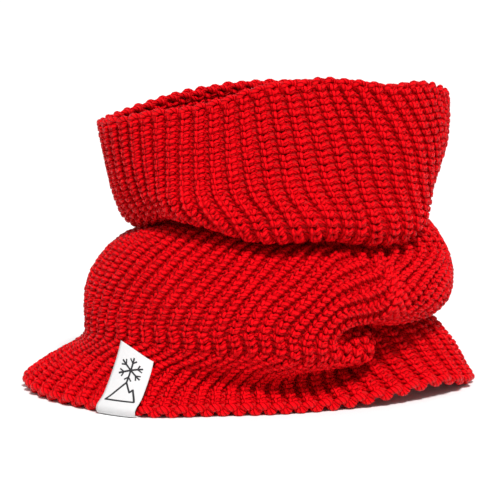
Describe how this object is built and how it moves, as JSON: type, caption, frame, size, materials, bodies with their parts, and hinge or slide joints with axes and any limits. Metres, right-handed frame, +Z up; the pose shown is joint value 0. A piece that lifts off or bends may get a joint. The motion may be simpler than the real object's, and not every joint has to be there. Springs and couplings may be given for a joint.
{
  "type": "knitted neck gaiter",
  "caption": "Chunky rib-knit tube worn round the neck, slouched into soft folds, with a flared hem and a folded woven tape label.",
  "frame": {"origin": "on the surface it stands on, under the middle of the object's bounding box", "axes": "+Z up through the neck opening, -Y the side that carries the label and faces the viewer, +X to that viewer's right"},
  "size_m": [0.2788, 0.173, 0.1937],
  "materials": {
    "yarn": "soft plied red yarn with a faint sheen",
    "edge_yarn": "the same red yarn, worked into edges",
    "label_tape": "matt white woven tape",
    "label_ink": "matt black woven ink",
    "label_thread": "white sewing thread"
  },
  "bodies": {
    "root": {"knit_tube": "yarn", "bind_off_chain": "edge_yarn", "cast_on_edge": "edge_yarn", "back_seam": "edge_yarn", "label_band": "label_tape", "label_print": "label_ink", "label_thread": "label_thread"}
  },
  "joints": []
}
